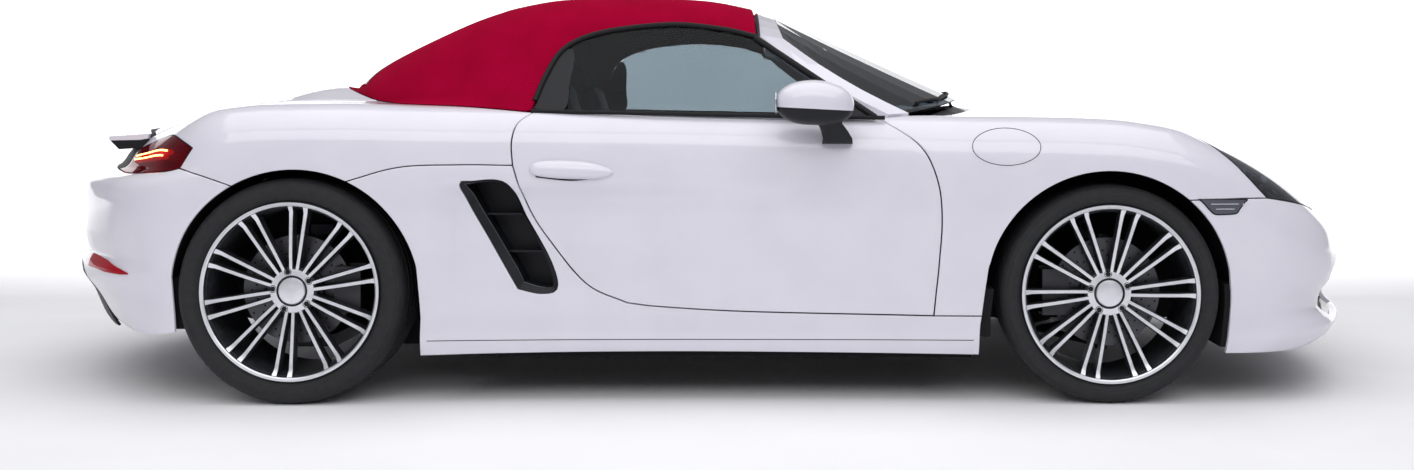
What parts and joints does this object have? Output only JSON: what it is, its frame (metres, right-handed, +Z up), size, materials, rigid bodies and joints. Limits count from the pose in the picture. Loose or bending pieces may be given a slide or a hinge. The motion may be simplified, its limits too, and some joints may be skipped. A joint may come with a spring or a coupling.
{
  "type": "two-seat mid-engined convertible car with a closed fabric top",
  "caption": "Low two-seat convertible car with a raised red fabric top, opening doors and lids, steered front wheels and free-turning wheels.",
  "frame": {"origin": "bottom centre of the bounding box: on the road, midway along the length, on the car's middle plane", "axes": "+X to the front of the car, +Y to its left side, +Z up"},
  "size_m": [4.3789, 1.994, 1.2807],
  "materials": {
    "car_paint_white": "gloss clear-coated paint",
    "black_plastic": "moulded, satin",
    "bare_steel": "machined",
    "machined_alloy": "machined faces with clear lacquer",
    "tyre_rubber": "matt",
    "red_canvas": "woven canvas",
    "tinted_glass": "tinted",
    "clear_lens": "smoked clear lens",
    "red_lens": "moulded lens",
    "black_leather": "grained"
  },
  "bodies": {
    "body": {"arch_liner_front_left": "black_plastic", "arch_liner_front_right": "black_plastic", "arch_liner_rear_left": "black_plastic", "arch_liner_rear_right": "black_plastic", "chassis_tub": "black_plastic", "cowl_panel": "black_plastic", "dashboard": "black_leather", "deck_panel": "car_paint_white", "engine_block": "bare_steel", "exhaust": "bare_steel", "front_axle": "bare_steel", "front_bumper": "car_paint_white", "front_fender_left": "car_paint_white", "front_fender_right": "car_paint_white", "front_grille": "black_plastic", "headlamp_left": "clear_lens", "headlamp_right": "clear_lens", "rear_axle": "bare_steel", "rear_bumper": "car_paint_white", "rear_diffuser": "black_plastic", "rear_quarter_left": "car_paint_white", "rear_quarter_right": "car_paint_white", "rear_spoiler": "car_paint_white", "rear_window": "tinted_glass", "screen_frame": "car_paint_white", "screen_glass": "tinted_glass", "seat_left": "black_leather", "seat_right": "black_leather", "side_intake_left": "black_plastic", "side_intake_right": "black_plastic", "side_panel_left": "car_paint_white", "side_panel_right": "car_paint_white", "soft_top": "red_canvas", "tail_lamp_left": "red_lens", "tail_lamp_right": "red_lens", "tail_strip": "black_plastic"},
    "door_left": {"door_left": "car_paint_white", "door_glass_left": "tinted_glass", "mirror_left": "car_paint_white"},
    "door_right": {"door_right": "car_paint_white", "door_glass_right": "tinted_glass", "mirror_right": "car_paint_white"},
    "hood": {"hood": "car_paint_white"},
    "rear_lid": {"rear_lid": "car_paint_white"},
    "steering_wheel": {"steering_wheel": "black_leather"},
    "knuckle_left": {"knuckle_left": "bare_steel"},
    "knuckle_right": {"knuckle_right": "bare_steel"},
    "wheel_front_left": {"brake_disc_front_left": "bare_steel", "rim_front_left": "machined_alloy", "tyre_front_left": "tyre_rubber"},
    "wheel_front_right": {"brake_disc_front_right": "bare_steel", "rim_front_right": "machined_alloy", "tyre_front_right": "tyre_rubber"},
    "wheel_rear_left": {"brake_disc_rear_left": "bare_steel", "rim_rear_left": "machined_alloy", "tyre_rear_left": "tyre_rubber"},
    "wheel_rear_right": {"brake_disc_rear_right": "bare_steel", "rim_rear_right": "machined_alloy", "tyre_rear_right": "tyre_rubber"}
  },
  "joints": [
    {"name": "door_left_hinge", "type": "hinge", "parent": "body", "child": "door_left", "pos_m": [0.65, 0.842, 0.55], "axis": [0, 0, -1], "range_deg": [0, 65]},
    {"name": "door_right_hinge", "type": "hinge", "parent": "body", "child": "door_right", "pos_m": [0.65, -0.842, 0.55], "axis": [0, 0, 1], "range_deg": [0, 65]},
    {"name": "hood_hinge", "type": "hinge", "parent": "body", "child": "hood", "pos_m": [0.787, 0, 0.836], "axis": [0, -1, 0], "range_deg": [0, 60]},
    {"name": "rear_lid_hinge", "type": "hinge", "parent": "body", "child": "rear_lid", "pos_m": [-1.56, 0, 0.842], "axis": [0, 1, 0], "range_deg": [0, 60]},
    {"name": "steer_left", "type": "hinge", "parent": "body", "child": "knuckle_left", "pos_m": [1.2645, 0.7275, 0.331], "axis": [0, 0, 1], "range_deg": [-33, 33]},
    {"name": "steer_right", "type": "hinge", "parent": "body", "child": "knuckle_right", "pos_m": [1.2645, -0.7275, 0.331], "axis": [0, 0, 1], "range_deg": [-33, 33]},
    {"name": "steering_wheel_turn", "type": "hinge", "parent": "body", "child": "steering_wheel", "pos_m": [0.25, 0.37, 0.79], "axis": [0.9135, 0, -0.4067], "range_deg": [-495, 495]},
    {"name": "wheel_front_left_spin", "type": "hinge", "parent": "knuckle_left", "child": "wheel_front_left", "pos_m": [1.2645, 0.7575, 0.331], "axis": [0, 1, 0], "continuous": true},
    {"name": "wheel_rear_left_spin", "type": "hinge", "parent": "body", "child": "wheel_rear_left", "pos_m": [-1.2105, 0.76, 0.341], "axis": [0, 1, 0], "continuous": true},
    {"name": "wheel_front_right_spin", "type": "hinge", "parent": "knuckle_right", "child": "wheel_front_right", "pos_m": [1.2645, -0.7575, 0.331], "axis": [0, 1, 0], "continuous": true},
    {"name": "wheel_rear_right_spin", "type": "hinge", "parent": "body", "child": "wheel_rear_right", "pos_m": [-1.2105, -0.76, 0.341], "axis": [0, 1, 0], "continuous": true}
  ],
  "couplings": [
    {"joint": "steer_right", "follows": "steer_left", "ratio": 1},
    {"joint": "steering_wheel_turn", "follows": "steer_left", "ratio": -15}
  ]
}
